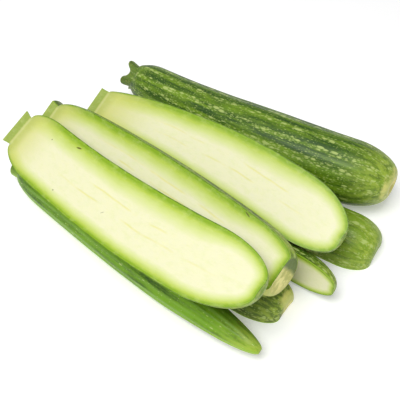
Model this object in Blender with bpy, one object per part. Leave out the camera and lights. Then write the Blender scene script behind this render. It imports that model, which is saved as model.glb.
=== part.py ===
"""A pile of courgettes: one whole fruit and seven lengthwise halves that rest on each other.

Units are metres and +Z is up. Every fruit is lofted in its own frame, with its stem end at -X and its
blossom end at +X. A half keeps the side below its level cut face, at or near the frame's z = 0. Each piece
is then turned and placed in the pile, whose blossom ends point along +X. Pieces that rest on each other keep
a gap of a few tenths of a millimetre.
"""

import math
from dataclasses import dataclass

import bmesh
import bpy
from mathutils import Euler, Vector

MM = 0.001

# Gaps between rings along each stretch of a fruit
STUB_GAPS = 2
SHOULDER_GAPS = 5
BODY_GAPS = 5
BLOSSOM_GAPS = 9

WHOLE_SIDES = 30           # corners of a whole fruit's ring
HALF_SIDES = 15            # sides of a half's arc, from rim to rim

TAPER_START = 0.05         # share of the length where a fruit starts to widen towards its blossom end
TAPER_LENGTH = 0.67
STEM_END = 0.036           # share of the length taken by the cut stem stub
STEM_FLARE = 0.12          # how much wider the stub is at its cut than at its neck
FLARE_POWER = 1.5
SHOULDER_POWER = 1.9       # roundness of the shoulder behind the stub
BLOSSOM_POWER = 2.0        # roundness of the blossom end

RAGGED_LOBES = 4           # ridges of the whole fruit's untrimmed stem
RAGGED_TURN = math.radians(-10)   # where the first ridge stands
RAGGED_BLUNTNESS = 0.6     # below 1, the ridges are broad and blunt
RAGGED_DEPTH = 0.14        # how far the ridges stand out, as a share of the stub's radius
RAGGED_FADE = 0.058        # share of the length over which the ridges fade out
RAGGED_LENGTH = 2.2 * MM   # how far each ridge runs out past the stub's middle
STEM_HOLLOW = 2.2 * MM     # how deep the middle of the untrimmed stem is sunk
SCAR_HOLLOW = 1.2 * MM     # how deep the whole fruit's blossom scar is dished

FLAT_NORMAL = 0.99         # least Z of a face normal on a half's cut face
SHARP_EDGE = math.radians(40)

SKIN_COLOUR = (0.055, 0.135, 0.02)
FLESH_COLOUR = (0.86, 0.84, 0.55)
SKIN_ROUGHNESS = 0.32
FLESH_ROUGHNESS = 0.45


@dataclass(frozen=True)
class Fruit:
    """Outline of one courgette, in metres. Shares are of the length, ratios are of the radius."""

    length: float
    radius: float
    taper_ratio: float = 0.88     # width behind the shoulder
    stem_ratio: float = 0.46      # width of the stem stub's neck
    end_ratio: float = 0.2        # width of the blossom scar
    shoulder_share: float = 0.17  # where the shoulder has reached the body's width
    blossom_share: float = 0.82   # where the blossom end starts to close
    bend: float = 0.0             # sideways bow of the middle, along the frame's Y
    cut: float = 0.0              # height of a half's cut face above the fruit's axis

    def radius_at(self, share):
        """Radius of the ring at a share of the length."""
        widening = smooth_step((share - TAPER_START) / TAPER_LENGTH)
        body = self.taper_ratio + (1 - self.taper_ratio) * widening
        climb = clamp((share - STEM_END) / (self.shoulder_share - STEM_END))
        shoulder = (1 - (1 - climb) ** SHOULDER_POWER) ** (1 / SHOULDER_POWER)
        neck = self.stem_ratio / self.taper_ratio
        flare = 1 + STEM_FLARE * clamp(1 - share / STEM_END) ** FLARE_POWER
        closing = clamp((share - self.blossom_share) / (1 - self.blossom_share))
        blossom = (1 - closing ** BLOSSOM_POWER) ** (1 / BLOSSOM_POWER)
        stem_part = (neck + (1 - neck) * shoulder) * flare
        end_part = self.end_ratio + (1 - self.end_ratio) * blossom
        return self.radius * body * stem_part * end_part

    def bow_at(self, share):
        """Sideways offset of the ring's middle."""
        return self.bend * (1 - (2 * share - 1) ** 2)

    def along(self, share):
        """Place of the ring along the frame's X."""
        return (share - 0.5) * self.length


@dataclass(frozen=True)
class Piece:
    """One fruit or half of the pile: its outline and how it lies. Angles are in degrees."""

    name: str
    fruit: Fruit
    centre: tuple                 # middle of the fruit's axis, in metres
    turn: float = 0.0             # about +Z
    tip: float = 0.0              # about the fruit's own Y: negative lifts the blossom end
    roll: float = 0.0             # about the fruit's own length: 180 lays a half on its cut face
    whole: bool = False


PILE = (
    Piece("whole_courgette",
          Fruit(length=206 * MM, radius=21 * MM, taper_ratio=0.74, stem_ratio=0.42, end_ratio=0.3,
                shoulder_share=0.12, blossom_share=0.85, bend=-6.5 * MM),
          centre=(-18.5 * MM, 78 * MM, 20.5 * MM), turn=5, tip=-0.6, whole=True),
    Piece("back_under_half",
          Fruit(length=185 * MM, radius=19.5 * MM, end_ratio=0.45, blossom_share=0.9, bend=-0.5 * MM),
          centre=(6 * MM, 37.5 * MM, 0), turn=7.5, roll=180),
    Piece("side_half",
          Fruit(length=161 * MM, radius=12 * MM, taper_ratio=0.74, blossom_share=0.84, bend=-0.5 * MM),
          centre=(14.5 * MM, 1 * MM, 11.8 * MM), tip=-2.5, roll=87),
    Piece("middle_under_half",
          Fruit(length=183 * MM, radius=17 * MM, taper_ratio=1.0, end_ratio=0.44, blossom_share=0.88,
                bend=1.5 * MM),
          centre=(-14 * MM, -22.5 * MM, 0), turn=3, roll=180),
    Piece("front_under_half",
          Fruit(length=207 * MM, radius=12.5 * MM, taper_ratio=0.89, end_ratio=0.08, blossom_share=0.45,
                bend=1.5 * MM),
          centre=(-19.5 * MM, -47.5 * MM, 9 * MM), turn=-3, tip=-0.5, roll=221),
    Piece("back_half",
          Fruit(length=196 * MM, radius=20 * MM, taper_ratio=0.74, stem_ratio=0.5, shoulder_share=0.34,
                bend=8 * MM),
          centre=(-12.5 * MM, 19.8 * MM, 33.7 * MM), tip=-1, roll=28),
    Piece("middle_half",
          Fruit(length=203 * MM, radius=17.5 * MM, taper_ratio=0.93, stem_ratio=0.6, end_ratio=0.65,
                blossom_share=0.87, bend=4 * MM, cut=7.5 * MM),
          centre=(-26 * MM, -13.5 * MM, 31 * MM), turn=-5, tip=-3, roll=32),
    Piece("front_half",
          Fruit(length=204 * MM, radius=21 * MM, taper_ratio=0.96, stem_ratio=0.52, shoulder_share=0.16,
                blossom_share=0.8, bend=-7 * MM),
          centre=(-25 * MM, -41 * MM, 46.2 * MM), turn=-4, tip=-4.5, roll=24),
)


def clamp(value):
    """Value held between 0 and 1."""
    return min(1.0, max(0.0, value))


def smooth_step(value):
    """Smooth rise from 0 to 1."""
    value = clamp(value)
    return value * value * (3 - 2 * value)


def between(start, end, steps):
    """Points at the given parts of the way from start to end."""
    return [start + (end - start) * step for step in steps]


def ring_shares(fruit):
    """Shares of the length at which the rings stand, closer together where the outline turns."""
    quarter = math.pi / 2
    stub = [k / STUB_GAPS for k in range(STUB_GAPS)]
    shoulder = [1 - math.cos(quarter * k / SHOULDER_GAPS) for k in range(SHOULDER_GAPS)]
    body = [k / BODY_GAPS for k in range(BODY_GAPS)]
    blossom = [math.sin(quarter * k / BLOSSOM_GAPS) for k in range(BLOSSOM_GAPS + 1)]
    return (between(0.0, STEM_END, stub)
            + between(STEM_END, fruit.shoulder_share, shoulder)
            + between(fruit.shoulder_share, fruit.blossom_share, body)
            + between(fruit.blossom_share, 1.0, blossom))


def whole_ring(fruit, share):
    """Corners of a whole fruit's ring. The stem stub has ridges that run out past its middle."""
    fade = clamp(1 - share / RAGGED_FADE)
    corners = []
    for k in range(WHOLE_SIDES):
        angle = 2 * math.pi * k / WHOLE_SIDES
        wave = math.cos(RAGGED_LOBES * (angle - RAGGED_TURN))
        ridge = fade * math.copysign(abs(wave) ** RAGGED_BLUNTNESS, wave)
        radius = fruit.radius_at(share) * (1 + RAGGED_DEPTH * ridge)
        corners.append((fruit.along(share) - RAGGED_LENGTH * ridge,
                        fruit.bow_at(share) + radius * math.cos(angle),
                        radius * math.sin(angle)))
    return corners


def half_ring(fruit, share):
    """Corners of a half's ring: the arc below the cut face, from one rim to the other."""
    radius = fruit.radius_at(share)
    extra = math.asin(fruit.cut / radius)
    sweep = math.pi + 2 * extra
    angles = [math.pi - extra + sweep * k / HALF_SIDES for k in range(HALF_SIDES + 1)]
    return [(fruit.along(share), fruit.bow_at(share) + radius * math.cos(angle), radius * math.sin(angle))
            for angle in angles]


def loft(rings):
    """Open bmesh skin through closed rings. Returns the bmesh and each ring's vertices."""
    bm = bmesh.new()
    loops = [[bm.verts.new(corner) for corner in ring] for ring in rings]
    for near, far in zip(loops, loops[1:]):
        for k in range(len(near)):
            following = (k + 1) % len(near)
            bm.faces.new((near[k], far[k], far[following], near[following]))
    return bm, loops


def fan(bm, loop, offset):
    """Close a ring with triangles around its middle, which is moved along X."""
    middle = sum((corner.co for corner in loop), Vector()) / len(loop)
    hub = bm.verts.new(middle + Vector((offset, 0, 0)))
    for k, corner in enumerate(loop):
        bm.faces.new((corner, loop[(k + 1) % len(loop)], hub))


def finish_mesh(bm, name):
    """Mesh of the closed bmesh, with outward faces and smooth shading between sharp edges."""
    bmesh.ops.recalc_face_normals(bm, faces=bm.faces)
    mesh = bpy.data.meshes.new(name)
    bm.to_mesh(mesh)
    bm.free()
    mesh.shade_smooth()
    mesh.set_sharp_from_angle(angle=SHARP_EDGE)
    return mesh


def whole_mesh(piece, skin):
    """A whole fruit: ragged, sunken stem and dished blossom scar."""
    bm, loops = loft([whole_ring(piece.fruit, share) for share in ring_shares(piece.fruit)])
    fan(bm, loops[0], STEM_HOLLOW)
    fan(bm, loops[-1], -SCAR_HOLLOW)
    mesh = finish_mesh(bm, piece.name)
    mesh.materials.append(skin)
    return mesh


def half_mesh(piece, skin, flesh):
    """A half: skin outside, flesh on its level cut face."""
    bm, loops = loft([half_ring(piece.fruit, share) for share in ring_shares(piece.fruit)])
    bm.faces.new(loops[0])
    bm.faces.new(loops[-1])
    mesh = finish_mesh(bm, piece.name)
    mesh.materials.append(skin)
    mesh.materials.append(flesh)
    for face in mesh.polygons:
        face.material_index = int(face.normal.z > FLAT_NORMAL)
    return mesh


def make_material(name, colour, roughness):
    """Principled BSDF of one colour."""
    material = bpy.data.materials.new(name)
    material.use_nodes = True
    shader = material.node_tree.nodes["Principled BSDF"]
    shader.inputs["Base Color"].default_value = (*colour, 1)
    shader.inputs["Roughness"].default_value = roughness
    shader.inputs["Metallic"].default_value = 0.0
    return material


def place_piece(piece, mesh, parent):
    """Object of one piece, turned and placed under the parent."""
    thing = bpy.data.objects.new(piece.name, mesh)
    bpy.context.scene.collection.objects.link(thing)
    thing.parent = parent
    thing.location = piece.centre
    thing.rotation_euler = Euler([math.radians(angle) for angle in (piece.roll, piece.tip, piece.turn)])
    return thing


def stand_at_origin(pile, things):
    """Move the parent so that the bottom centre of the pieces' box is at the world origin."""
    bpy.context.view_layer.update()
    corners = [thing.matrix_world @ vertex.co for thing in things for vertex in thing.data.vertices]
    low = [min(corner[axis] for corner in corners) for axis in range(3)]
    high = [max(corner[axis] for corner in corners) for axis in range(3)]
    pile.location = (-(low[0] + high[0]) / 2, -(low[1] + high[1]) / 2, -low[2])


def main():
    """Clear the scene and build the pile."""
    for thing in list(bpy.data.objects):
        bpy.data.objects.remove(thing)
    skin = make_material("courgette_skin", SKIN_COLOUR, SKIN_ROUGHNESS)
    flesh = make_material("courgette_flesh", FLESH_COLOUR, FLESH_ROUGHNESS)
    pile = bpy.data.objects.new("pile", None)
    bpy.context.scene.collection.objects.link(pile)
    things = []
    for piece in PILE:
        mesh = whole_mesh(piece, skin) if piece.whole else half_mesh(piece, skin, flesh)
        things.append(place_piece(piece, mesh, pile))
    stand_at_origin(pile, things)


main()
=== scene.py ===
"""Looks of a pile of courgettes: one whole fruit, and seven lengthwise halves that lean on each other.

Units are metres and +Z is up. Each fruit grows in its own frame, stem end at -X and blossom end at +X, with
a half's level cut face at or near its z = 0. It is then turned and set into the place that the frame holds
for it.
"""

import logging
import math
from dataclasses import dataclass
from enum import Enum
from typing import Any, Callable

import bpy
import bmesh
from mathutils import Euler, Matrix, Vector


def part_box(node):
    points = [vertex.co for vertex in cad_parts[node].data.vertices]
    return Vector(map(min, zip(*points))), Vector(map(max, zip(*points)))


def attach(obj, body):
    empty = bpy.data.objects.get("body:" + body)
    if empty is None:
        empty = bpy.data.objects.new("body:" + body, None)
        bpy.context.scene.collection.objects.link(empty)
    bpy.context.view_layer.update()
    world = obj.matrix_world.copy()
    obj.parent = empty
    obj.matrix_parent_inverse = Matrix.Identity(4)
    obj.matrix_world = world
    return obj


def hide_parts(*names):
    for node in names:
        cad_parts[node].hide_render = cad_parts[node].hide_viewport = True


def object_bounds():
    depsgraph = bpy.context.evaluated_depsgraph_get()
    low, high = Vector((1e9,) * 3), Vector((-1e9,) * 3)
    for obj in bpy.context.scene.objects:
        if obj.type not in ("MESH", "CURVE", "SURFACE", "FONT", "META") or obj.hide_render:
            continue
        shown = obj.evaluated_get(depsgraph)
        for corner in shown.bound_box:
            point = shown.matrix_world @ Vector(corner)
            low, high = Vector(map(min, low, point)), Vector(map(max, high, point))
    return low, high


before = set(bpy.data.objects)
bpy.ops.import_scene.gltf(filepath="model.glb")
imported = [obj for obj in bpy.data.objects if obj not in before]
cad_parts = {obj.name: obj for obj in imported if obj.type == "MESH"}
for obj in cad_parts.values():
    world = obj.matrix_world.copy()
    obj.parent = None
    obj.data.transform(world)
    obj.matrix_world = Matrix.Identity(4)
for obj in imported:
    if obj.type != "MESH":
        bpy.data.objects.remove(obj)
CAD_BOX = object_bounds()

LOG = logging.getLogger("courgettes")
MM = 0.001
Colour = tuple[float, float, float]


class Surface(Enum):
    """The surfaces of one fruit, numbered as the mesh's "surface" attribute stores them."""

    SKIN = 0
    CUT = 1
    STEM_END = 2
    SCAR = 3


# ---------------------------------------------------------------- wiring of nodes


class Wire:
    """A node's output that takes part in Python arithmetic by adding Math nodes."""

    def __init__(self, board: "Board", socket: bpy.types.NodeSocket) -> None:
        """Keep the board and the output socket."""
        self.board = board
        self.socket = socket

    def __add__(self, other: Any) -> "Wire":
        """Sum."""
        return self.board.math("ADD", self, other)

    def __sub__(self, other: Any) -> "Wire":
        """Difference."""
        return self.board.math("SUBTRACT", self, other)

    def __rsub__(self, other: Any) -> "Wire":
        """Difference from a number."""
        return self.board.math("SUBTRACT", other, self)

    def __mul__(self, other: Any) -> "Wire":
        """Product."""
        return self.board.math("MULTIPLY", self, other)

    def __truediv__(self, other: Any) -> "Wire":
        """Quotient."""
        return self.board.math("DIVIDE", self, other)

    def __rtruediv__(self, other: Any) -> "Wire":
        """Quotient of a number."""
        return self.board.math("DIVIDE", other, self)

    def __pow__(self, other: Any) -> "Wire":
        """Power."""
        return self.board.math("POWER", self, other)

    __radd__ = __add__
    __rmul__ = __mul__


class Board:
    """A node tree being wired. One method adds any node, and the others name the common ones."""

    def __init__(self, tree: bpy.types.NodeTree) -> None:
        """Keep the tree."""
        self.tree = tree

    def node(self, kind: str, settings: dict[str, Any], sockets: dict[Any, Any], output: Any = 0) -> Wire:
        """Add a node.

        Args:
            kind: the node's type.
            settings: its properties, set first. "stops" holds a ramp's positions and colours.
            sockets: input name or number to a value or a Wire.
            output: name or number of the output that is returned.

        Returns:
            The output as a Wire.
        """
        node = self.tree.nodes.new(kind)
        for name, value in settings.items():
            if name == "stops":
                self.set_stops(node.color_ramp, value)
            else:
                setattr(node, name, value)
        for key, value in sockets.items():
            if isinstance(value, Wire):
                self.tree.links.new(value.socket, node.inputs[key])
            else:
                node.inputs[key].default_value = value
        return Wire(self, node.outputs[output])

    @staticmethod
    def set_stops(ramp: bpy.types.ColorRamp, stops: list[tuple[float, Colour]]) -> None:
        """Replace a ramp's stops.

        Args:
            ramp: the ramp.
            stops: positions with their colours, in rising order.
        """
        while len(ramp.elements) > 1:
            ramp.elements.remove(ramp.elements[-1])
        for k, (position, colour) in enumerate(stops):
            stop = ramp.elements[0] if k == 0 else ramp.elements.new(position)
            stop.position = position
            stop.color = (*colour, 1)

    def math(self, operation: str, *values: Any) -> Wire:
        """Math node on up to three values."""
        return self.node("ShaderNodeMath", {"operation": operation}, dict(enumerate(values)))

    def smooth(self, value: Any, low: Any, high: Any) -> Wire:
        """Smooth rise from 0 at low to 1 at high, or a fall where low is the greater."""
        return self.node("ShaderNodeMapRange", {"interpolation_type": "SMOOTHSTEP"},
                         {"Value": value, "From Min": low, "From Max": high})

    def ramp(self, value: Any, low: Any, high: Any) -> Wire:
        """Straight rise from 0 at low to 1 at high, held between them."""
        return self.node("ShaderNodeMapRange", {}, {"Value": value, "From Min": low, "From Max": high})

    def blend(self, share: Any, start: Any, end: Any) -> Wire:
        """Number part of the way from start to end."""
        return self.node("ShaderNodeMix", {"data_type": "FLOAT"}, {0: share, 2: start, 3: end})

    def mix(self, share: Any, start: Any, end: Any, mode: str = "MIX") -> Wire:
        """Colour part of the way from start to end. A colour is a Wire or three numbers."""
        pair = {6 + k: c if isinstance(c, Wire) else (*c, 1) for k, c in enumerate((start, end))}
        return self.node("ShaderNodeMix", {"data_type": "RGBA", "blend_type": mode}, {0: share, **pair}, 2)

    def split(self, vector: Wire) -> tuple[Wire, Wire, Wire]:
        """X, Y and Z of a vector."""
        first = self.node("ShaderNodeSeparateXYZ", {}, {0: vector})
        return tuple(Wire(self, first.socket.node.outputs[k]) for k in range(3))

    def join(self, x: Any, y: Any, z: Any) -> Wire:
        """Vector of three numbers."""
        return self.node("ShaderNodeCombineXYZ", {}, {0: x, 1: y, 2: z})

    def noise(self, place: Wire, detail: float = 3.0, roughness: float = 0.5) -> Wire:
        """Noise of scale 1 at a place that is already stretched."""
        return self.node("ShaderNodeTexNoise", {},
                         {"Vector": place, "Scale": 1.0, "Detail": detail, "Roughness": roughness})


# ---------------------------------------------------------------- the shape of a fruit


@dataclass(frozen=True)
class Growth:
    """Outline of one courgette, in metres. Shares are of the length, ratios are of the radius."""

    length: float
    radius: float
    taper_ratio: float = 0.88
    stem_ratio: float = 0.46
    end_ratio: float = 0.2
    shoulder_share: float = 0.17
    blossom_share: float = 0.82
    bend: float = 0.0
    cut: float = 0.0
    rib_depth: float = 0.25 * MM
    lump_depth: float = 0.5 * MM
    seed: float = 0.0

    def values(self) -> dict[str, float]:
        """Inputs of the growing tree by name.

        Returns:
            Input name to number.
        """
        return {"Length": self.length, "Radius": self.radius, "Taper Ratio": self.taper_ratio,
                "Stem Ratio": self.stem_ratio, "End Ratio": self.end_ratio,
                "Shoulder Share": self.shoulder_share, "Blossom Share": self.blossom_share,
                "Bend": self.bend, "Cut": self.cut, "Rib Depth": self.rib_depth,
                "Lump Depth": self.lump_depth, "Seed": self.seed}


class GrowingTree:
    """Geometry Nodes tree that grows a whole fruit or a half, as one closed surface."""

    TAPER_START = 0.05
    TAPER_LENGTH = 0.67
    STEM_END = 0.036
    STEM_FLARE = 0.12
    FLARE_POWER = 1.5
    SHOULDER_POWER = 1.9
    RIBS = 14
    LUMPS_PER_METRE = 22.0
    LUMPS_AROUND = 0.8
    GRAIN = (90.0, 500.0)      # relief of the cut face, per metre along and across
    RAGGED_LOBES = 4
    RAGGED_TURN = math.radians(-10)
    RAGGED_BLUNTNESS = 0.6
    RAGGED_DEPTH = 0.14
    RAGGED_FADE = 0.058
    RAGGED_LENGTH = 2.2 * MM
    STEM_HOLLOW = 2.2 * MM
    SCAR_HOLLOW = 1.2 * MM
    HALF_SCAR_HOLLOW = 0.3 * MM
    AT_STEM = 0.001            # below this share of the length lies the stem's end face
    AT_BLOSSOM = 0.9999        # and above this one the blossom scar
    ON_CUT = 0.4999            # a cut face lies this far from the middle of the way around
    CUT_RELIEF = 0.25 * MM
    NO_RIM = 1.0               # a whole fruit's distance from any rim, in metres
    CROWDING = 0.85            # how much closer the rings stand at the ends
    WELD = 0.01 * MM

    def __init__(self, whole: bool, rings: int = 200, sides: int = 60) -> None:
        """Build the tree.

        Args:
            whole: a whole fruit with a ragged stem, or else a half with a cut face.
            rings: gaps between rings along the fruit.
            sides: sides of a ring's arc, an even number.
        """
        self.whole = whole
        self.rings = rings
        self.sides = sides
        self.tree = bpy.data.node_groups.new("grow_whole" if whole else "grow_half", "GeometryNodeTree")
        self.board = Board(self.tree)
        self.inputs = self.make_inputs()
        self.wire_tree()

    def make_inputs(self) -> dict[str, Wire]:
        """Name the tree's inputs.

        Returns:
            Each input as a Wire.
        """
        names = list(Growth(1.0, 1.0).values())
        materials = ("Skin", "Flesh", "Stem", "Scar")
        for name in names:
            self.tree.interface.new_socket(name, in_out="INPUT", socket_type="NodeSocketFloat")
        for name in materials:
            self.tree.interface.new_socket(name, in_out="INPUT", socket_type="NodeSocketMaterial")
        self.tree.interface.new_socket("Fruit", in_out="OUTPUT", socket_type="NodeSocketGeometry")
        entry = self.tree.nodes.new("NodeGroupInput")
        return {name: Wire(self.board, entry.outputs[name]) for name in (*names, *materials)}

    def store(self, shape: Wire, name: str, value: Any, kind: str = "FLOAT", domain: str = "POINT") -> Wire:
        """Store a named attribute.

        Args:
            shape: the geometry.
            name: the attribute's name.
            value: its value.
            kind: its data type.
            domain: what it is stored on.

        Returns:
            The geometry with the attribute.
        """
        return self.board.node("GeometryNodeStoreNamedAttribute", {"data_type": kind, "domain": domain},
                               {"Geometry": shape, "Name": name, "Value": value})

    def read(self, name: str, kind: str = "FLOAT") -> Wire:
        """A named attribute's value."""
        return self.board.node("GeometryNodeInputNamedAttribute", {"data_type": kind}, {"Name": name})

    def patch(self, surface: Surface, columns: int, rows: int, share: Callable, around: Callable,
              inner: Callable) -> Wire:
        """One surface of the fruit, as a grid that knows where on the fruit it lies.

        Args:
            surface: which surface it is.
            columns: gaps along the grid's first side.
            rows: gaps along its second side.
            share: share of the length, from the two grid shares.
            around: share of the way around the axis, from rim to rim on a half.
            inner: distance from the axis, as a share of the radius.

        Returns:
            The grid's geometry.
        """
        board = self.board
        grid = board.node("GeometryNodeMeshGrid", {}, {"Size X": 1.0, "Size Y": 1.0,
                                                       "Vertices X": columns + 1, "Vertices Y": rows + 1})
        x, y, _ = board.split(board.node("GeometryNodeInputPosition", {}, {}))
        first, second = x + 0.5, y + 0.5
        for name, rule in (("share", share), ("around", around), ("inner", inner)):
            grid = self.store(grid, name, rule(first, second))
        return self.store(grid, "surface", surface.value, "INT", "FACE")

    def crowded(self, first: Wire) -> Wire:
        """Share of the length for a grid share, with rings closer together at both ends."""
        return first - self.board.math("SINE", first * (2 * math.pi)) * (self.CROWDING / (2 * math.pi))

    def patches(self) -> list[Wire]:
        """The grids of every surface, whose edges meet vertex to vertex.

        Returns:
            Each grid's geometry.
        """
        arc = lambda first, second: second
        full = lambda first, second: first * 0.0 + 1.0
        cap_rows = self.sides // 4
        made = [self.patch(Surface.SKIN, self.rings, self.sides, lambda a, b: self.crowded(a), arc, full)]
        for surface, place in ((Surface.STEM_END, 0.0), (Surface.SCAR, 1.0)):
            made.append(self.patch(surface, cap_rows, self.sides,
                                   lambda a, b, place=place: a * 0.0 + place, arc, lambda a, b: a))
        if not self.whole:
            flip = lambda a, b: self.board.math("GREATER_THAN", b, 0.5)
            made.append(self.patch(Surface.CUT, self.rings, 2 * cap_rows, lambda a, b: self.crowded(a), flip,
                                   lambda a, b: self.board.math("ABSOLUTE", b * 2.0 - 1.0)))
        return made

    def radius_at(self, share: Wire) -> Wire:
        """Radius of the fruit at a share of its length.

        Args:
            share: share of the length.

        Returns:
            The radius in metres.
        """
        board, given = self.board, self.inputs
        widening = board.smooth(share, self.TAPER_START, self.TAPER_START + self.TAPER_LENGTH)
        body = board.blend(widening, given["Taper Ratio"], 1.0)
        climb = board.ramp(share, self.STEM_END, given["Shoulder Share"])
        power = self.SHOULDER_POWER
        shoulder = (1.0 - (1.0 - climb) ** power) ** (1 / power)
        stem_part = board.blend(shoulder, given["Stem Ratio"] / given["Taper Ratio"], 1.0)
        flare = board.ramp(share, self.STEM_END, 0.0) ** self.FLARE_POWER * self.STEM_FLARE + 1.0
        closing = board.ramp(share, given["Blossom Share"], 1.0)
        blossom = board.math("SQRT", 1.0 - closing * closing)
        end_part = board.blend(blossom, given["End Ratio"], 1.0)
        return given["Radius"] * body * stem_part * flare * end_part

    def section(self, share: Wire, around: Wire, radius: Wire) -> tuple[Wire, Wire]:
        """Where a point stands on its ring.

        Args:
            share: share of the length.
            around: share of the way around the axis, from rim to rim on a half.
            radius: the ring's radius.

        Returns:
            The angle about the axis, and the way along the ring to the nearest rim.
        """
        if self.whole:
            return around * (2 * math.pi), share * 0.0 + self.NO_RIM
        extra = self.board.math("ARCSINE", self.inputs["Cut"] / radius)
        angle = math.pi - extra + around * (extra * 2.0 + math.pi)
        off_middle = self.board.math("ABSOLUTE", around * 2.0 - 1.0)
        return angle, radius * (extra + math.pi / 2) * (1.0 - off_middle)

    def swell_at(self, share: Wire, side: Wire, height: Wire, angle: Wire) -> Wire:
        """Ribs and lumps of the body.

        Args:
            share: share of the length.
            side: cosine of the angle about the axis.
            height: its sine.
            angle: the angle.

        Returns:
            A factor on the radius.
        """
        board, given = self.board, self.inputs
        calm = board.smooth(share, 0.03, 0.2) * board.smooth(share, 1.0, 0.9)
        ribs = board.math("COSINE", angle * float(self.RIBS)) * calm * given["Rib Depth"]
        drift = board.join(share * given["Length"] * self.LUMPS_PER_METRE + given["Seed"],
                           side * self.LUMPS_AROUND, height * self.LUMPS_AROUND)
        lumps = (board.noise(drift, 2.0) - 0.5) * given["Lump Depth"] * 2.0
        return (ribs + lumps * board.smooth(share, 0.0, 0.06)) / given["Radius"] + 1.0

    def ragged(self, share: Wire, inner: Wire, angle: Wire) -> tuple[Wire, Wire]:
        """Blunt ridges round the hollow of an untrimmed stem.

        Args:
            share: share of the length.
            inner: distance from the axis, as a share of the radius.
            angle: the angle about the axis.

        Returns:
            A factor on the radius, and a shift along the fruit.
        """
        board = self.board
        wave = board.math("COSINE", (angle - self.RAGGED_TURN) * float(self.RAGGED_LOBES))
        blunt = board.math("SIGN", wave) * board.math("ABSOLUTE", wave) ** self.RAGGED_BLUNTNESS
        ridge = board.ramp(share, self.RAGGED_FADE, 0.0) * blunt
        sunk = board.smooth(inner, 0.85, 0.3) * board.math("LESS_THAN", share, self.AT_STEM)
        shift = sunk * self.STEM_HOLLOW - ridge * board.smooth(inner, 0.1, 0.7) * self.RAGGED_LENGTH
        return ridge * self.RAGGED_DEPTH + 1.0, shift

    def cut_dent(self, share: Wire, around: Wire, inner: Wire, along: Wire, across: Wire) -> Wire:
        """Fibrous relief of a cut face, which fades out at its rim.

        Args:
            share: share of the length.
            around: share of the way around the axis, from rim to rim.
            inner: distance from the axis, as a share of the radius.
            along: place along the fruit in metres.
            across: place across it.

        Returns:
            How far the point is moved off the face, below zero for a dent.
        """
        board = self.board
        grain = board.join(along * self.GRAIN[0] + self.inputs["Seed"], across * self.GRAIN[1], 0.0)
        on_cut = board.math("GREATER_THAN", board.math("ABSOLUTE", around - 0.5), self.ON_CUT)
        ends = board.smooth(share, 0.0, 0.03) * board.smooth(share, 1.0, 0.98)
        return board.smooth(inner, 0.98, 0.8) * ends * on_cut * board.noise(grain, 2.0) * -self.CUT_RELIEF

    def place_points(self, shape: Wire) -> Wire:
        """Move every point of the grids onto the fruit.

        Args:
            shape: the joined grids.

        Returns:
            The fruit's geometry, with the attributes that its finishes read.
        """
        board, given = self.board, self.inputs
        share, around, inner = self.read("share"), self.read("around"), self.read("inner")
        radius = self.radius_at(share)
        angle, rim = self.section(share, around, radius)
        side, height = board.math("COSINE", angle), board.math("SINE", angle)
        swell = self.swell_at(share, side, height, angle)
        along = (share - 0.5) * given["Length"]
        dished = board.smooth(inner, 1.0, 0.45) * board.math("GREATER_THAN", share, self.AT_BLOSSOM)
        if self.whole:
            factor, shift = self.ragged(share, inner, angle)
            swell = swell * factor
            along = along + shift - dished * self.SCAR_HOLLOW
            across, rise, dent = radius * swell * side * inner, radius * swell * height * inner, 0.0
        else:
            along = along - dished * self.HALF_SCAR_HOLLOW
            across = radius * swell * side * inner
            swell_below = (swell - 1.0) * board.math("LESS_THAN", height, 0.0) + 1.0
            rise = radius * height * swell_below * inner + given["Cut"] * (1.0 - inner)
            dent = self.cut_dent(share, around, inner, along, across)
        bow = given["Bend"] * (1.0 - (share * 2.0 - 1.0) ** 2.0)
        grown = board.join(along, across, rise)
        shape = self.store(shape, "grown", grown, "FLOAT_VECTOR")
        shape = self.store(shape, "rim", rim)
        off_axis = board.join(0.0, bow, dent)
        place = board.node("ShaderNodeVectorMath", {"operation": "ADD"}, {0: grown, 1: off_axis})
        return board.node("GeometryNodeSetPosition", {}, {"Geometry": shape, "Position": place})

    def measure_depth(self, shape: Wire) -> Wire:
        """Store how deep every point lies under the skin.

        Args:
            shape: the placed grids.

        Returns:
            The geometry with its "depth" attribute.
        """
        board = self.board
        surface = self.read("surface", "INT")
        outside = board.math("ABSOLUTE", board.math("SUBTRACT", surface, 1.5))
        picked = board.node("FunctionNodeCompare", {"data_type": "FLOAT", "operation": "GREATER_THAN"},
                            {0: outside, 1: 1.0})
        bark = board.node("GeometryNodeSeparateGeometry", {"domain": "FACE"},
                          {"Geometry": shape, "Selection": picked})
        near = board.node("GeometryNodeProximity", {"target_element": "FACES"}, {0: bark}, "Distance")
        return self.store(shape, "depth", near)

    def wire_tree(self) -> None:
        """Join, place, measure, weld and dress the grids."""
        board = self.board
        joined = self.tree.nodes.new("GeometryNodeJoinGeometry")
        for grid in self.patches():
            self.tree.links.new(grid.socket, joined.inputs[0])
        shape = self.place_points(Wire(board, joined.outputs[0]))
        shape = self.measure_depth(shape)
        shape = board.node("GeometryNodeMergeByDistance", {}, {"Geometry": shape, "Distance": self.WELD})
        shape = board.node("GeometryNodeSetShadeSmooth", {}, {"Geometry": shape, "Shade Smooth": True})
        shape = board.node("GeometryNodeRealizeInstances", {}, {"Geometry": shape})
        for surface, name in ((Surface.SKIN, "Skin"), (Surface.CUT, "Flesh"), (Surface.STEM_END, "Stem"),
                              (Surface.SCAR, "Scar")):
            picked = board.node("FunctionNodeCompare", {"data_type": "INT", "operation": "EQUAL"},
                                {2: self.read("surface", "INT"), 3: surface.value})
            shape = board.node("GeometryNodeSetMaterial", {},
                               {"Geometry": shape, "Selection": picked, "Material": self.inputs[name]})
        leave = self.tree.nodes.new("NodeGroupOutput")
        self.tree.links.new(shape.socket, leave.inputs[0])


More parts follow.
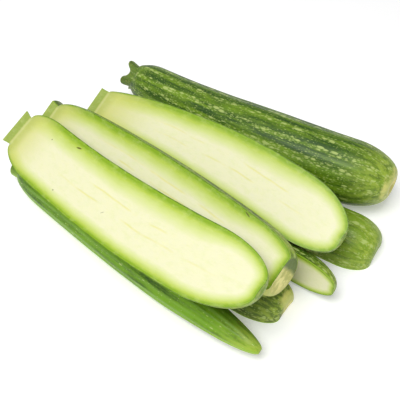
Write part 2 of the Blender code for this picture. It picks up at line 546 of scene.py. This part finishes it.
def evaluate(thing: bpy.types.Object, tree: bpy.types.NodeTree, values: dict[str, Any]) -> None:
    """Run a Geometry Nodes tree on an object and keep its result as a plain mesh.

    Args:
        thing: the object, already in the scene.
        tree: the tree.
        values: input name to value.
    """
    modifier = thing.modifiers.new("nodes", "NODES")
    modifier.node_group = tree
    for item in tree.interface.items_tree:
        if item.in_out == "INPUT" and item.name in values:
            modifier[item.identifier] = values[item.name]
    thing.update_tag()
    bpy.context.view_layer.update()
    ready = thing.evaluated_get(bpy.context.evaluated_depsgraph_get())
    mesh = bpy.data.meshes.new_from_object(ready)
    thing.modifiers.remove(modifier)
    thing.data = mesh
    mesh.name = thing.name


# ---------------------------------------------------------------- finishes


class Painter:
    """Shader board of one material, with the surface's own places as wires."""

    def __init__(self, name: str) -> None:
        """Make the material and read the fruit's attributes.

        Args:
            name: the material's name.
        """
        self.material = bpy.data.materials.new(name)
        self.material.use_nodes = True
        self.board = Board(self.material.node_tree)
        self.shader = self.material.node_tree.nodes["Principled BSDF"]
        self.grown = self.read("grown", "Vector")
        self.x, self.y, self.z = self.board.split(self.grown)
        self.share = self.read("share")
        self.inner = self.read("inner")
        self.depth = self.read("depth")
        self.rim = self.read("rim")

    def read(self, name: str, output: str = "Fac") -> Wire:
        """An attribute of the surface."""
        return self.board.node("ShaderNodeAttribute", {"attribute_name": name}, {}, output)

    def stretched(self, along: float, across: float, shift: float = 0.0) -> Wire:
        """Place on the fruit, counted in features per metre along and across it."""
        return self.board.join(self.x * along + shift, self.y * across, self.z * across)

    def finish(self, colour: Wire, roughness: Any, height: Wire, dent: float,
               constants: dict[str, Any]) -> bpy.types.Material:
        """Wire the shader.

        Args:
            colour: base colour.
            roughness: a Wire or a number.
            height: relief from 0 to 1.
            dent: depth of the relief in metres.
            constants: input name to a value that is the same all over.

        Returns:
            The finished material.
        """
        bump = self.board.node("ShaderNodeBump", {}, {"Strength": 0.6, "Distance": dent, "Height": height})
        links = self.material.node_tree.links
        links.new(colour.socket, self.shader.inputs["Base Color"])
        links.new(bump.socket, self.shader.inputs["Normal"])
        if isinstance(roughness, Wire):
            links.new(roughness.socket, self.shader.inputs["Roughness"])
        else:
            self.shader.inputs["Roughness"].default_value = roughness
        for name, value in constants.items():
            self.shader.inputs[name].default_value = value
        return self.material


@dataclass(frozen=True)
class SkinFinish:
    """Waxy green skin: lengthwise tones, pale flecks in rows, paler streaks at the blossom end, and a bright
    green beside a half's rims that is partly the rind showing through and partly painted bounce light.
    """

    name: str
    deep: Colour = (0.024, 0.076, 0.003)
    fresh: Colour = (0.165, 0.29, 0.010)
    fleck: Colour = (0.45, 0.56, 0.16)
    tip: Colour = (0.34, 0.46, 0.05)
    stem_shade: Colour = (0.11, 0.17, 0.03)
    cork: Colour = (0.88, 0.79, 0.27)
    cork_share: float = 1.03      # share of the length where the cork is full, above 1 for none
    # Bright green beside a half's rims: partly the rind showing through the thin skin, partly painted bounce
    # light from the white floor
    rim_tint_and_bounce_light: Colour = (0.34, 0.55, 0.03)
    bounce_light_width: float = 0.8 * MM
    bounce_light_side: float = 0.0        # 1 or -1 keeps the painted bounce light to one rim, with painted shade on the other flank
    cork_side: float = 0.0        # 1 or -1 keeps the cork off that flank
    tone: float = 0.5
    flecks: float = 1.0
    shift: float = 0.0

    # Features per metre along and across the fruit, and for flecks their largest share of a cell
    WANDER = (14.0, 60.0)
    TONES = (26.0, 290.0)
    MOTTLE = (420.0, 1100.0)
    STREAKS = (14.0, 520.0)
    PATCHES = (260.0, 150.0)
    PITS = (900.0, 1300.0)
    LARGE_FLECKS = (210.0, 560.0, 0.66)
    SMALL_FLECKS = (480.0, 1300.0, 0.85)
    RELIEF = 0.35 * MM

    def spots(self, paint: Painter, grid: tuple[float, float, float], rows: Wire) -> Wire:
        """Mask of elongated flecks.

        Args:
            paint: the board.
            grid: flecks per metre along and across the fruit, and their largest share of a cell.
            rows: where flecks may grow large.

        Returns:
            1 on a fleck and 0 between them.
        """
        board = paint.board
        along, across, size = grid[0], grid[1], grid[2] * self.flecks
        cell = board.node("ShaderNodeTexVoronoi", {}, {"Vector": paint.stretched(along, across, self.shift),
                                                       "Scale": 1.0}, "Distance")
        chance = board.split(Wire(board, cell.socket.node.outputs["Color"]))[0]
        reach = chance * chance * rows * size + size * 0.12
        return board.smooth(cell / reach, 1.15, 0.55)

    def make(self) -> bpy.types.Material:
        """Build the material.

        Returns:
            The finished material.
        """
        paint = Painter(self.name)
        board = paint.board
        angle = board.math("ARCTAN2", paint.z, paint.y)
        wander = board.noise(paint.stretched(*self.WANDER, self.shift), 2.0)
        rows = board.smooth(board.math("COSINE", angle * float(GrowingTree.RIBS) + wander * 6.0), -0.5, 0.7)
        tones = board.noise(paint.stretched(*self.TONES, self.shift), 5.0, 0.62)
        mottle = board.noise(paint.stretched(*self.MOTTLE, self.shift), 3.0, 0.6)
        tone_shift = (self.tone - 0.5) * 0.4
        lift = board.smooth(tones * 0.75 + mottle * 0.25 + rows * 0.045 + tone_shift, 0.38, 0.68)
        colour = board.mix(lift, self.deep, self.fresh)
        streak = board.smooth(board.noise(paint.stretched(*self.STREAKS, self.shift), 3.0), 0.42, 0.62)
        colour = board.mix(board.smooth(paint.share, 0.84, 0.995) * (streak * 0.6 + 0.3), colour, self.tip)
        large = self.spots(paint, self.LARGE_FLECKS, rows)
        small = self.spots(paint, self.SMALL_FLECKS, rows * 0.5 + 0.4)
        pale = board.math("MAXIMUM", large * 0.85, small * 0.55)
        colour = board.mix(pale, colour, self.fleck)
        colour = board.mix(board.smooth(paint.share, 0.075, 0.01) * 0.55, colour, self.stem_shade)
        colour = self.add_cork(paint, self.add_rim_tint_and_bounce_light(paint, colour))
        pits = board.noise(paint.stretched(*self.PITS), 3.0, 0.6)
        height = pits * 0.7 + tones * 0.5 + pale * 0.2
        return paint.finish(colour, 0.34 + mottle * 0.25, height, self.RELIEF,
                            {"Specular IOR Level": 0.3, "Coat Weight": 0.1, "Coat Roughness": 0.22,
                             "Subsurface Weight": 0.03})

    def add_rim_tint_and_bounce_light(self, paint: Painter, colour: Wire) -> Wire:
        """Bright green beside the rims, partly the rind showing through and partly painted bounce light, or
        beside one rim with painted shade darkening the other flank.

        Args:
            paint: the skin's board.
            colour: the colour so far.

        Returns:
            The new colour.
        """
        board = paint.board
        # painted bounce light, partly the rind's own green, within about the given width of the rim
        rim_tint_and_bounce_light = board.smooth(paint.rim, self.bounce_light_width * 1.5, 0.0)
        if self.bounce_light_side:
            side = paint.y * self.bounce_light_side
            rim_tint_and_bounce_light = rim_tint_and_bounce_light * board.smooth(side, -1.0 * MM, 3.0 * MM)
            # painted shade: the flank away from the lit rim is darkened towards the deep green
            colour = board.mix(board.smooth(side, -1.0 * MM, -9.0 * MM) * 0.7, colour, self.deep)
        return board.mix(rim_tint_and_bounce_light, colour, self.rim_tint_and_bounce_light)

    def add_cork(self, paint: Painter, colour: Wire) -> Wire:
        """Tan patch that spreads from the blossom scar over the end of the fruit.

        Args:
            paint: the skin's board.
            colour: the colour so far.

        Returns:
            The new colour.
        """
        board = paint.board
        patches = board.noise(paint.stretched(*self.PATCHES, self.shift), 4.0, 0.6)
        corky = board.smooth(paint.share + (patches - 0.5) * 0.05, self.cork_share - 0.02, self.cork_share)
        if self.cork_side:
            side = paint.y * self.cork_side + patches * (4.0 * MM)
            corky = corky * board.smooth(side, 8.0 * MM, 4.0 * MM)
        return board.mix(corky * 0.85, colour, board.mix(patches, self.tip, self.cork))


@dataclass(frozen=True)
class Blemish:
    """A small brown mark on a cut face, placed by shares of the fruit. Sizes are in metres."""

    share: float
    side: float                  # metres across the face from the axis
    length: float = 1.2 * MM
    width: float = 0.5 * MM
    turn: float = 0.0
    strength: float = 0.7


@dataclass(frozen=True)
class FleshFinish:
    """Moist cut flesh: a dark skin line, a green rind, yellow-green under it, and a cream middle."""

    name: str
    length: float
    radius: float
    skin_line: Colour = (0.10, 0.20, 0.008)
    rind: Colour = (0.23, 0.39, 0.008)
    inner_rind: Colour = (0.45, 0.58, 0.07)
    pale: Colour = (0.64, 0.71, 0.27)
    middle: Colour = (0.80, 0.79, 0.52)
    stem_tint: Colour = (0.62, 0.63, 0.18)
    seed_line: Colour = (0.74, 0.70, 0.20)
    stub: Colour = (0.30, 0.40, 0.07)
    olive: Colour = (0.42, 0.48, 0.11)
    neck_line: Colour = (0.70, 0.70, 0.38)
    fibre: Colour = (0.55, 0.58, 0.22)
    brown: Colour = (0.10, 0.08, 0.012)
    far_band: float = 1.25
    near_band: float = 0.8
    tip_band: float = 0.75
    stem_reach: float = 0.2
    blemishes: tuple[Blemish, ...] = ()
    shift: float = 0.0

    # Features per metre along and across the fruit
    FIBRES = (160.0, 700.0)
    CLOUDS = (60.0, 110.0)
    GRAIN = (300.0, 1500.0)
    CELLS = (150.0, 260.0)
    WETNESS = (240.0, 500.0)
    BREAKS = (45.0, 90.0)
    RAGGED_EDGE = (1500.0, 1500.0)
    RIND_DEPTH = 10 * MM          # depth under the skin at the ramp's last stop
    SEED_SIDE = 0.17              # seed lines' distance from the axis, as a share of the radius
    RELIEF = 0.22 * MM

    def rind_colour(self, paint: Painter) -> Wire:
        """Colour by depth under the skin, with a band that widens towards the far side.

        Args:
            paint: the flesh's board.

        Returns:
            The colour.
        """
        board = paint.board
        side = board.smooth(paint.y, -0.5 * self.radius, 0.5 * self.radius)
        band = board.blend(side, self.near_band, self.far_band)
        band = board.blend(board.smooth(paint.share, 0.7, 0.97), band, self.tip_band)
        fibres = board.noise(paint.stretched(*self.FIBRES, self.shift), 3.0, 0.6) - 0.5
        clouds = board.noise(paint.stretched(*self.CLOUDS, self.shift), 2.0) - 0.5
        clouds = clouds * 2.2 * MM * board.smooth(paint.depth, 0.0, 4.0 * MM)
        deep = paint.depth / band + fibres * 0.9 * MM + clouds
        stops = [(0.0, self.skin_line), (0.02, self.skin_line), (0.05, self.rind), (0.14, self.rind),
                 (0.32, self.inner_rind), (0.6, self.pale), (0.95, self.middle)]
        return board.node("ShaderNodeValToRGB", {"stops": stops}, {0: deep / self.RIND_DEPTH})

    def seed_lines(self, paint: Painter) -> Wire:
        """Mask of the faint broken lines where the seeds sit.

        Args:
            paint: the flesh's board.

        Returns:
            1 on a line and 0 elsewhere.
        """
        board = paint.board
        wander = (board.noise(paint.stretched(24.0, 0.0, self.shift), 2.0) - 0.5) * 5.0 * MM
        off = board.math("ABSOLUTE", board.math("ABSOLUTE", paint.y + wander) - self.SEED_SIDE * self.radius)
        line = board.smooth(off, 0.9 * MM, 0.1 * MM)
        broken = board.smooth(board.noise(paint.stretched(*self.BREAKS, self.shift + 4.0), 3.0), 0.42, 0.6)
        return line * broken * board.smooth(paint.share, 0.2, 0.4) * board.smooth(paint.share, 0.92, 0.75)

    def mark(self, paint: Painter, spot: Blemish) -> Wire:
        """Mask of one blemish.

        Args:
            paint: the flesh's board.
            spot: the blemish.

        Returns:
            Its strength on the mark and 0 elsewhere.
        """
        board = paint.board
        along = paint.x - (spot.share - 0.5) * self.length
        across = paint.y - spot.side
        turned = (along * math.cos(spot.turn) + across * math.sin(spot.turn)) / spot.length
        crossed = (across * math.cos(spot.turn) - along * math.sin(spot.turn)) / spot.width
        ragged = board.noise(paint.stretched(*self.RAGGED_EDGE), 2.0) * 0.9 + 0.55
        return board.smooth(turned * turned + crossed * crossed, ragged, ragged * 0.25) * spot.strength

    def make(self) -> bpy.types.Material:
        """Build the material.

        Returns:
            The finished material.
        """
        paint = Painter(self.name)
        board = paint.board
        colour = self.rind_colour(paint)
        tinge = board.smooth(paint.share, self.stem_reach, 0.02) * board.smooth(paint.depth, 0.0, 2 * MM)
        colour = board.mix(tinge * 0.9, colour, self.stem_tint)
        colour = board.mix(self.seed_lines(paint) * 0.6, colour, self.seed_line)
        colour = board.mix(board.smooth(paint.share, 0.085, 0.045) * 0.6, colour, self.olive)
        colour = board.mix(board.smooth(paint.share, 0.033, 0.028) * 0.9, colour, self.stub)
        edge = board.smooth(board.math("ABSOLUTE", paint.share - 0.037), 0.007, 0.001)
        colour = board.mix(edge * 0.3, colour, self.neck_line)
        grain = board.noise(paint.stretched(*self.GRAIN, self.shift), 4.0, 0.65)
        colour = board.mix(board.smooth(grain, 0.5, 0.75) * 0.1, colour, self.fibre)
        cells = board.noise(paint.stretched(*self.CELLS, self.shift), 4.0, 0.7)
        colour = board.mix(board.smooth(cells, 0.45, 0.7) * 0.25, colour, self.pale)
        for spot in self.blemishes:
            colour = board.mix(self.mark(paint, spot), colour, self.brown)
        wet = board.noise(paint.stretched(*self.WETNESS, self.shift), 3.0)
        return paint.finish(colour, 0.3 + wet * 0.25, grain * 0.6 + wet * 0.4, self.RELIEF,
                            {"Subsurface Weight": 0.18, "Subsurface Radius": (1.0, 0.9, 0.35),
                             "Subsurface Scale": 1.2 * MM, "Specular IOR Level": 0.32,
                             "Coat Weight": 0.06, "Coat Roughness": 0.2})


@dataclass(frozen=True)
class StemFinish:
    """Cut or broken end of the stem: pale fibrous green, darker towards its skin."""

    name: str
    core: Colour = (0.34, 0.45, 0.09)
    edge: Colour = (0.13, 0.22, 0.02)

    FIBRES = (400.0, 900.0)       # per metre along and across the fruit
    RELIEF = 0.6 * MM

    def make(self) -> bpy.types.Material:
        """Build the material.

        Returns:
            The finished material.
        """
        paint = Painter(self.name)
        board = paint.board
        grain = board.noise(paint.stretched(*self.FIBRES), 4.0, 0.6)
        deep = board.smooth(paint.depth + grain * 1.5 * MM, 0.4 * MM, 2.6 * MM)
        return paint.finish(board.mix(deep, self.edge, self.core), 0.45, grain, self.RELIEF,
                            {"Subsurface Weight": 0.1, "Subsurface Scale": 1.0 * MM})


@dataclass(frozen=True)
class ScarFinish:
    """Corky blossom scar: tan and pale green, with dark pits, and painted shade on one flank where asked."""

    name: str
    cork: Colour = (0.84, 0.78, 0.28)
    green: Colour = (0.52, 0.52, 0.12)
    # dark green of the painted shade over one flank of the scar
    painted_flank_shade: Colour = (0.05, 0.12, 0.006)
    shaded_flank_side: float = 0.0       # 1 or -1 puts the painted shade on that flank
    pit: Colour = (0.10, 0.075, 0.015)

    CLOUDS = (200.0, 200.0)       # per metre along and across the fruit
    PITS = (300.0, 300.0)
    RELIEF = 0.8 * MM

    def make(self) -> bpy.types.Material:
        """Build the material.

        Returns:
            The finished material.
        """
        paint = Painter(self.name)
        board = paint.board
        cloud = board.noise(paint.stretched(*self.CLOUDS), 4.0, 0.6)
        pit = board.node("ShaderNodeTexVoronoi", {}, {"Vector": paint.stretched(*self.PITS), "Scale": 1.0},
                         "Distance")
        dark = board.smooth(pit, 0.2, 0.1) * board.smooth(cloud, 0.48, 0.58)
        colour = board.mix(board.smooth(cloud, 0.4, 0.6), self.green, self.cork)
        colour = board.mix(dark, colour, self.pit)
        colour = board.mix(board.smooth(paint.inner + cloud * 0.3, 0.9, 1.15) * 0.7, colour, self.green)
        # painted shade over the scar's flank on the given side
        if self.shaded_flank_side:
            painted_flank_shade = board.smooth(paint.y * self.shaded_flank_side + cloud * (4.0 * MM), 4.0 * MM, 8.0 * MM)
            colour = board.mix(painted_flank_shade * 0.9, colour, self.painted_flank_shade)
        return paint.finish(colour, 0.55, cloud - dark * 0.6, self.RELIEF, {"Subsurface Weight": 0.05})


# ---------------------------------------------------------------- the pieces


@dataclass(frozen=True)
class Courgette:
    """One fruit or half: its growth, how it lies, and its finishes. Angles are in degrees."""

    node: str
    growth: Growth
    skin: SkinFinish
    turn: float = 0.0
    tip: float = 0.0
    roll: float = 0.0
    whole: bool = False
    face_up: bool = False
    bands: tuple[float, float, float] = (1.5, 0.85, 0.75)
    stem_reach: float = 0.2
    blemishes: tuple[Blemish, ...] = ()

    def finishes(self) -> dict[str, bpy.types.Material]:
        """Materials by the growing tree's input names.

        Returns:
            Input name to material.
        """
        far, near, tip = self.bands
        flesh = FleshFinish(self.node + "_flesh", self.growth.length, self.growth.radius, far_band=far,
                            near_band=near, tip_band=tip, stem_reach=self.stem_reach,
                            blemishes=self.blemishes, shift=self.growth.seed)
        # the scar's painted shade goes on the flank that the skin keeps free of cork
        scar = ScarFinish(self.node + "_scar", shaded_flank_side=self.skin.cork_side)
        if self.skin.cork_share > 1.0:
            scar = ScarFinish(self.node + "_scar", cork=self.skin.tip, green=self.skin.fresh)
        return {"Skin": self.skin.make(), "Flesh": flesh.make(),
                "Stem": StemFinish(self.node + "_stem").make(), "Scar": scar.make()}

    def set_in_place(self, mesh: bpy.types.Mesh) -> None:
        """Turn the grown mesh and move its box's middle onto the CAD node's.

        Args:
            mesh: the grown mesh, in its own frame.
        """
        angles = [math.radians(angle) for angle in (self.roll, self.tip, self.turn)]
        mesh.transform(Euler(angles).to_matrix().to_4x4())
        low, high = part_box(self.node)
        corners = [vertex.co for vertex in mesh.vertices]
        middle = Vector([(min(c[k] for c in corners) + max(c[k] for c in corners)) / 2 for k in range(3)])
        mesh.transform(Matrix.Translation((low + high) / 2 - middle))

    def build(self, tree: bpy.types.NodeTree) -> bpy.types.Object:
        """Grow, dress and place the piece.

        Args:
            tree: the growing tree for a whole fruit or for a half.

        Returns:
            The finished piece.
        """
        piece = bpy.data.objects.new(self.node + "_fruit", bpy.data.meshes.new(self.node))
        bpy.context.scene.collection.objects.link(piece)
        evaluate(piece, tree, {**self.growth.values(), **self.finishes()})
        self.set_in_place(piece.data)
        close_up(piece.data)
        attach(piece, "root")
        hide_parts(self.node)
        return piece


def close_up(mesh: bpy.types.Mesh) -> None:
    """Point all faces outwards and shade smoothly between sharp edges.

    Args:
        mesh: the finished mesh, already in place.
    """
    bm = bmesh.new()
    bm.from_mesh(mesh)
    bmesh.ops.recalc_face_normals(bm, faces=bm.faces)
    bm.to_mesh(mesh)
    bm.free()
    mesh.set_sharp_from_angle(angle=math.radians(40))


class Pile:
    """The eight pieces of the pile."""

    def __init__(self) -> None:
        """List the pieces with their growth, their place and their finishes."""
        self.pieces = (
            Courgette("whole_courgette",
                      Growth(206 * MM, 21 * MM, taper_ratio=0.74, stem_ratio=0.42, end_ratio=0.3,
                             shoulder_share=0.12, blossom_share=0.85, bend=-6.5 * MM, seed=1.0),
                      SkinFinish("whole_skin", cork_share=1.0, shift=1.0), turn=5, tip=-0.6, whole=True),
            Courgette("back_under_half",
                      Growth(185 * MM, 19.5 * MM, end_ratio=0.45, blossom_share=0.9, bend=-0.5 * MM,
                             seed=2.0),
                      SkinFinish("back_under_skin", tone=0.75, shift=2.0), turn=7.5, roll=180),
            Courgette("side_half",
                      Growth(161 * MM, 12 * MM, taper_ratio=0.74, blossom_share=0.84, bend=-0.5 * MM,
                             seed=3.0),
                      SkinFinish("side_skin", tone=0.35, shift=3.0), tip=-2.5, roll=87,
                      bands=(0.65, 0.5, 0.45)),
            Courgette("middle_under_half",
                      Growth(183 * MM, 17 * MM, taper_ratio=1.0, end_ratio=0.44, blossom_share=0.88,
                             bend=1.5 * MM, seed=4.0),
                      SkinFinish("middle_under_skin", tone=0.1, cork_share=0.992, cork_side=1.0, shift=4.0),
                      turn=3, roll=180),
            Courgette("front_under_half",
                      Growth(207 * MM, 12.5 * MM, taper_ratio=0.89, end_ratio=0.08, blossom_share=0.45,
                             bend=1.5 * MM, seed=5.0),
                      # its skin carries a wide band of painted bounce light along its lower rim, and painted
                      # shade on its upper flank
                      SkinFinish("front_under_skin", fresh=(0.17, 0.36, 0.006), tone=0.72, flecks=0.45,
                                 bounce_light_width=6 * MM, bounce_light_side=1.0, shift=5.0),
                      turn=-3, tip=-0.5, roll=221),
            Courgette("back_half",
                      Growth(196 * MM, 20 * MM, taper_ratio=0.74, stem_ratio=0.5, shoulder_share=0.34,
                             bend=8 * MM, seed=6.0),
                      SkinFinish("back_skin", shift=6.0), tip=-1, roll=28, face_up=True, stem_reach=0.3),
            Courgette("middle_half",
                      Growth(203 * MM, 17.5 * MM, taper_ratio=0.93, stem_ratio=0.6, end_ratio=0.65,
                             blossom_share=0.87, bend=4 * MM, cut=7.5 * MM, seed=7.0),
                      SkinFinish("middle_skin", cork_share=0.992, cork_side=1.0, shift=7.0),
                      turn=-5, tip=-3, roll=32, face_up=True,
                      blemishes=(Blemish(0.83, 14.4 * MM, 2.6 * MM, 0.5 * MM, turn=-0.3, strength=0.8),)),
            Courgette("front_half",
                      Growth(204 * MM, 21 * MM, taper_ratio=0.96, stem_ratio=0.52, shoulder_share=0.16,
                             blossom_share=0.8, bend=-7 * MM, seed=8.0),
                      SkinFinish("front_skin", shift=8.0), turn=-4, tip=-4.5, roll=24, face_up=True,
                      blemishes=(Blemish(0.271, 15.8 * MM, 2.6 * MM, 0.65 * MM, turn=0.25, strength=0.9),
                                 Blemish(0.164, 9.4 * MM, 0.6 * MM, 0.5 * MM),
                                 Blemish(0.294, -13.5 * MM, 0.8 * MM, 0.6 * MM, strength=0.5),
                                 Blemish(0.486, -6.4 * MM, 1.6 * MM, 0.35 * MM, turn=0.8, strength=0.4))),
        )

    def build(self) -> list[bpy.types.Object]:
        """Grow every piece and report it.

        Returns:
            The finished pieces.
        """
        trees = {whole: GrowingTree(whole).tree for whole in (True, False)}
        made = []
        for courgette in self.pieces:
            piece = courgette.build(trees[courgette.whole])
            made.append(piece)
            LOG.info("%s: %d faces", piece.name, len(piece.data.polygons))
        return made


class Studio:
    """Pale floor, soft light and the camera."""

    CAMERA_TURN = 39.0         # degrees about +Z from the front
    CAMERA_RISE = 48.0         # degrees above the floor
    CAMERA_DISTANCE = 0.3939
    LENS = 58.5
    AIM = Vector((0.0146, -0.0172, -0.0046))     # from the middle of the object's box
    LAMP_TURN = 5.0
    LAMP_RISE = 66.0
    LAMP_DISTANCE = 1.0
    LAMP_SIZE = 0.55
    LAMP_POWER = 7.5
    SKY_STRENGTH = 0.44
    FLOOR_GLOW = 0.22          # keeps the floor close to white
    FLOOR_REACH = 3.0

    def build(self) -> None:
        """Set up everything that isn't part of the object."""
        self.floor()
        self.world()
        self.lamp()
        self.camera()

    @staticmethod
    def direction(turn: float, rise: float) -> Vector:
        """Unit vector from the pile, by its turn about +Z from the front and its rise, in degrees."""
        turn, rise = math.radians(turn), math.radians(rise)
        return Vector((math.sin(turn) * math.cos(rise), -math.cos(turn) * math.cos(rise), math.sin(rise)))

    def floor(self) -> None:
        """Plain white floor."""
        mesh = bpy.data.meshes.new("floor")
        half = self.FLOOR_REACH
        mesh.from_pydata([(-half, -half, 0), (half, -half, 0), (half, half, 0), (-half, half, 0)], [],
                         [(0, 1, 2, 3)])
        floor = bpy.data.objects.new("floor", mesh)
        bpy.context.scene.collection.objects.link(floor)
        material = bpy.data.materials.new("white_floor")
        material.use_nodes = True
        shader = material.node_tree.nodes["Principled BSDF"]
        shader.inputs["Base Color"].default_value = (0.9, 0.9, 0.9, 1)
        shader.inputs["Roughness"].default_value = 0.7
        shader.inputs["Specular IOR Level"].default_value = 0.1
        shader.inputs["Emission Color"].default_value = (1, 1, 1, 1)
        shader.inputs["Emission Strength"].default_value = self.FLOOR_GLOW
        mesh.materials.append(material)

    def world(self) -> None:
        """Even white surroundings."""
        world = bpy.data.worlds.new("studio")
        world.use_nodes = True
        background = world.node_tree.nodes["Background"]
        background.inputs["Color"].default_value = (1, 1, 1, 1)
        background.inputs["Strength"].default_value = self.SKY_STRENGTH
        bpy.context.scene.world = world

    def lamp(self) -> None:
        """Square soft box above the pile, facing it."""
        light = bpy.data.lights.new("soft_top", "AREA")
        light.size = self.LAMP_SIZE
        light.energy = self.LAMP_POWER
        lamp = bpy.data.objects.new("soft_top", light)
        towards = self.direction(self.LAMP_TURN, self.LAMP_RISE)
        lamp.location = towards * self.LAMP_DISTANCE
        lamp.rotation_euler = towards.to_track_quat("Z", "Y").to_euler()
        bpy.context.scene.collection.objects.link(lamp)

    def camera(self) -> None:
        """Camera above the front right, aimed near the middle of the pile."""
        back = self.direction(self.CAMERA_TURN, self.CAMERA_RISE)
        data = bpy.data.cameras.new("camera")
        data.lens = self.LENS
        data.sensor_width = 36.0
        data.clip_start, data.clip_end = 0.01, 20.0
        camera = bpy.data.objects.new("camera", data)
        low, high = CAD_BOX
        camera.location = (low + high) / 2 + self.AIM + back * self.CAMERA_DISTANCE
        camera.rotation_euler = back.to_track_quat("Z", "Y").to_euler()
        bpy.context.scene.collection.objects.link(camera)
        bpy.context.scene.camera = camera
        bpy.context.scene.view_settings.view_transform = "Standard"


def main() -> None:
    """Build the pile and the studio."""
    logging.basicConfig(level=logging.INFO, format="%(name)s: %(message)s")
    Pile().build()
    Studio().build()


if __name__ == "__main__":
    main()
